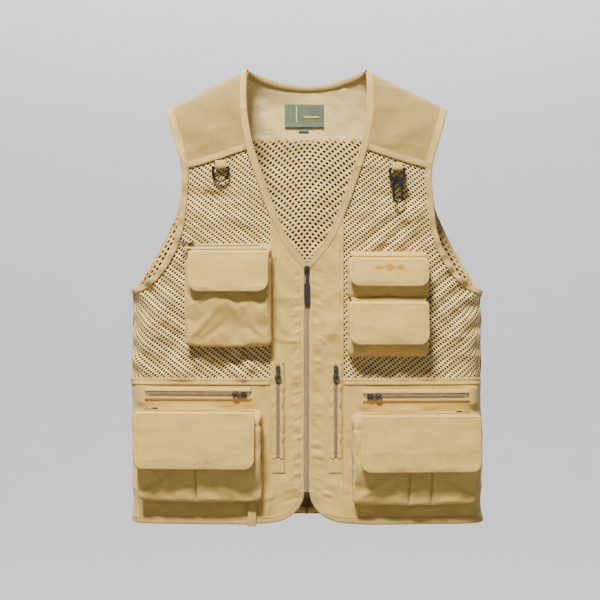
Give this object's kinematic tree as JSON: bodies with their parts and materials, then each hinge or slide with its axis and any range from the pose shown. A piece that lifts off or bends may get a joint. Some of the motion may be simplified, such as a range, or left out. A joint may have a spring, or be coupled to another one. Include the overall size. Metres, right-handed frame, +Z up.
{
  "type": "fishing vest",
  "caption": "Sleeveless khaki fishing vest of cloth and open net, with flap pockets, zips, a D-ring and a swivel snap hook.",
  "frame": {"origin": "middle of the shoulder line at the neck, midway between the two highest points, where a hanger's hook passes", "axes": "+Z up, towards the neck; +X to the right as seen from the front; +Y towards the back, so the front faces -Y"},
  "size_m": [0.5549, 0.1573, 0.7134],
  "materials": {
    "khaki_cloth": "matte woven polyester-cotton, sand khaki",
    "facing_cloth": "matte smooth woven lining, lighter khaki",
    "net": "open knitted polyester net, slightly shiny cream khaki threads",
    "binding_tape": "matte folded woven tape",
    "label_weave": "dense woven label, grey-green satin",
    "zip_tape": "coil zip with woven tape, taupe",
    "hook_and_loop": "hook-and-loop pile, matte",
    "zip_metal": "antique gunmetal plating, satin",
    "black_plastic": "moulded black rubberised plastic, satin",
    "dark_metal": "black-brown coated steel wire, satin"
  },
  "bodies": {
    "vest": {"left_front_yoke": "khaki_cloth", "left_placket": "khaki_cloth", "left_front_mesh": "net", "left_front_skirt": "khaki_cloth", "right_front_yoke": "khaki_cloth", "right_placket": "khaki_cloth", "right_front_mesh": "net", "right_front_skirt": "khaki_cloth", "back_yoke": "khaki_cloth", "back_panel": "khaki_cloth", "neck_facing": "facing_cloth", "back_mesh_lining": "net", "neck_binding": "binding_tape", "armhole_bindings": "binding_tape", "hem_binding": "binding_tape", "yoke_seam_tapes": "binding_tape", "neck_label": "label_weave", "main_zip": "zip_tape", "main_zip_stops": "zip_metal", "left_upright_zip": "zip_tape", "left_waist_zip": "zip_tape", "right_upright_zip": "zip_tape", "right_waist_zip": "zip_tape", "chest_left_pocket": "khaki_cloth", "chest_left_zip": "zip_tape", "chest_right_upper_pocket": "khaki_cloth", "chest_right_lower_pocket": "khaki_cloth", "lower_left_pocket": "khaki_cloth", "lower_left_zip": "zip_tape", "lower_right_pocket": "khaki_cloth", "lower_right_zip": "zip_tape", "loop_patches": "hook_and_loop", "pocket_side_zips": "zip_tape", "ring_tabs": "binding_tape", "strap_end": "binding_tape"},
    "chest_left_flap_body": {"chest_left_flap": "khaki_cloth"},
    "chest_right_upper_flap_body": {"chest_right_upper_flap": "khaki_cloth"},
    "chest_right_lower_flap_body": {"chest_right_lower_flap": "khaki_cloth"},
    "lower_left_flap_body": {"lower_left_flap": "khaki_cloth"},
    "lower_right_flap_body": {"lower_right_flap": "khaki_cloth"},
    "main_slider_body": {"main_zip_slider": "zip_metal"},
    "main_pull_body": {"main_zip_pull": "black_plastic"},
    "left_upright_slider_body": {"left_upright_zip_slider": "zip_metal"},
    "left_upright_pull_body": {"left_upright_zip_pull": "zip_metal"},
    "right_upright_slider_body": {"right_upright_zip_slider": "zip_metal"},
    "right_upright_pull_body": {"right_upright_zip_pull": "zip_metal"},
    "left_waist_slider_body": {"left_waist_zip_slider": "zip_metal"},
    "left_waist_pull_body": {"left_waist_zip_pull": "zip_metal"},
    "right_waist_slider_body": {"right_waist_zip_slider": "zip_metal"},
    "right_waist_pull_body": {"right_waist_zip_pull": "zip_metal"},
    "chest_left_slider_body": {"chest_left_zip_slider": "zip_metal"},
    "chest_left_pull_body": {"chest_left_zip_pull": "zip_metal"},
    "lower_left_slider_body": {"lower_left_zip_slider": "zip_metal"},
    "lower_left_pull_body": {"lower_left_zip_pull": "zip_metal"},
    "lower_right_slider_body": {"lower_right_zip_slider": "zip_metal"},
    "lower_right_pull_body": {"lower_right_zip_pull": "zip_metal"},
    "d_ring_body": {"d_ring": "dark_metal"},
    "hook_base_body": {"hook_base": "dark_metal"},
    "snap_hook_body": {"snap_hook": "dark_metal"},
    "hook_gate_body": {"hook_gate": "dark_metal"}
  },
  "joints": [
    {"name": "chest_left_flap_lift", "type": "hinge", "parent": "vest", "child": "chest_left_flap_body", "pos_m": [-0.12056, -0.08624, -0.283], "axis": [-0.9986, 0.053, 0], "range_deg": [0, 150]},
    {"name": "chest_right_upper_flap_lift", "type": "hinge", "parent": "vest", "child": "chest_right_upper_flap_body", "pos_m": [0.12663, -0.0769, -0.294], "axis": [-0.9985, -0.0553, 0], "range_deg": [0, 150]},
    {"name": "chest_right_lower_flap_lift", "type": "hinge", "parent": "vest", "child": "chest_right_lower_flap_body", "pos_m": [0.12663, -0.0769, -0.361], "axis": [-0.9985, -0.0553, 0], "range_deg": [0, 150]},
    {"name": "lower_left_flap_lift", "type": "hinge", "parent": "vest", "child": "lower_left_flap_body", "pos_m": [-0.17321, -0.08689, -0.53], "axis": [-0.9974, 0.0727, 0], "range_deg": [0, 150]},
    {"name": "lower_right_flap_lift", "type": "hinge", "parent": "vest", "child": "lower_right_flap_body", "pos_m": [0.17491, -0.08676, -0.535], "axis": [-0.9974, -0.0727, 0], "range_deg": [0, 150]},
    {"name": "main_zip_run", "type": "slide", "parent": "vest", "child": "main_slider_body", "axis": [0, 0, -1], "range_m": [0, 0.3369]},
    {"name": "main_pull_swing", "type": "hinge", "parent": "main_slider_body", "child": "main_pull_body", "pos_m": [0, -0.06301, -0.31306], "axis": [-1, 0, 0], "range_deg": [0, 160]},
    {"name": "left_upright_zip_run", "type": "slide", "parent": "vest", "child": "left_upright_slider_body", "axis": [0, 0, -1], "range_m": [0, 0.1258]},
    {"name": "left_upright_pull_swing", "type": "hinge", "parent": "left_upright_slider_body", "child": "left_upright_pull_body", "pos_m": [-0.0449, -0.06476, -0.4676], "axis": [-0.9998, 0.0198, 0], "range_deg": [0, 165]},
    {"name": "right_upright_zip_run", "type": "slide", "parent": "vest", "child": "right_upright_slider_body", "axis": [0, 0, -1], "range_m": [0, 0.1258]},
    {"name": "right_upright_pull_swing", "type": "hinge", "parent": "right_upright_slider_body", "child": "right_upright_pull_body", "pos_m": [0.0449, -0.06476, -0.4676], "axis": [-0.9998, -0.0198, 0], "range_deg": [0, 165]},
    {"name": "left_waist_zip_run", "type": "slide", "parent": "vest", "child": "left_waist_slider_body", "axis": [-0.9972, 0.0748, 0], "range_m": [0, 0.1428]},
    {"name": "left_waist_pull_swing", "type": "hinge", "parent": "left_waist_slider_body", "child": "left_waist_pull_body", "pos_m": [-0.09769, -0.06427, -0.507], "axis": [0, 0, 1], "range_deg": [0, 165]},
    {"name": "right_waist_zip_run", "type": "slide", "parent": "vest", "child": "right_waist_slider_body", "axis": [0.9972, 0.0748, 0], "range_m": [0, 0.1428]},
    {"name": "right_waist_pull_swing", "type": "hinge", "parent": "right_waist_slider_body", "child": "right_waist_pull_body", "pos_m": [0.09769, -0.06427, -0.51], "axis": [0, 0, -1], "range_deg": [0, 165]},
    {"name": "chest_left_zip_run", "type": "slide", "parent": "vest", "child": "chest_left_slider_body", "axis": [0.9986, -0.053, 0], "range_m": [0, 0.0998]},
    {"name": "chest_left_pull_swing", "type": "hinge", "parent": "chest_left_slider_body", "child": "chest_left_pull_body", "pos_m": [-0.17933, -0.06521, -0.27345], "axis": [0.0464, 0.8729, 0.4856], "range_deg": [0, 165]},
    {"name": "lower_left_zip_run", "type": "slide", "parent": "vest", "child": "lower_left_slider_body", "axis": [0.9974, -0.0727, 0], "range_m": [0, 0.1558]},
    {"name": "lower_left_pull_swing", "type": "hinge", "parent": "lower_left_slider_body", "child": "lower_left_pull_body", "pos_m": [-0.24934, -0.06103, -0.53027], "axis": [-0.0662, -0.908, -0.4138], "range_deg": [0, 165]},
    {"name": "lower_right_zip_run", "type": "slide", "parent": "vest", "child": "lower_right_slider_body", "axis": [-0.9974, -0.0727, 0], "range_m": [0, 0.1558]},
    {"name": "lower_right_pull_swing", "type": "hinge", "parent": "lower_right_slider_body", "child": "lower_right_pull_body", "pos_m": [0.24924, -0.06105, -0.53527], "axis": [-0.0661, 0.908, 0.4138], "range_deg": [0, 165]},
    {"name": "d_ring_swing", "type": "hinge", "parent": "vest", "child": "d_ring_body", "pos_m": [-0.13389, -0.06121, -0.154], "axis": [-0.9983, 0.0588, 0], "range_deg": [0, 150]},
    {"name": "hook_base_swing", "type": "hinge", "parent": "vest", "child": "hook_base_body", "pos_m": [0.13991, -0.06086, -0.157], "axis": [-0.9981, -0.0614, 0], "range_deg": [0, 120]},
    {"name": "snap_hook_swivel", "type": "hinge", "parent": "hook_base_body", "child": "snap_hook_body", "pos_m": [0.14033, -0.06785, -0.171], "axis": [0, 0, 1], "continuous": true},
    {"name": "hook_gate_open", "type": "hinge", "parent": "snap_hook_body", "child": "hook_gate_body", "pos_m": [0.14692, -0.06744, -0.1823], "axis": [-0.0614, 0.9981, 0], "range_deg": [0, 25], "stiffness_Nm_per_rad": 0.02, "springref_deg": -5.73}
  ]
}
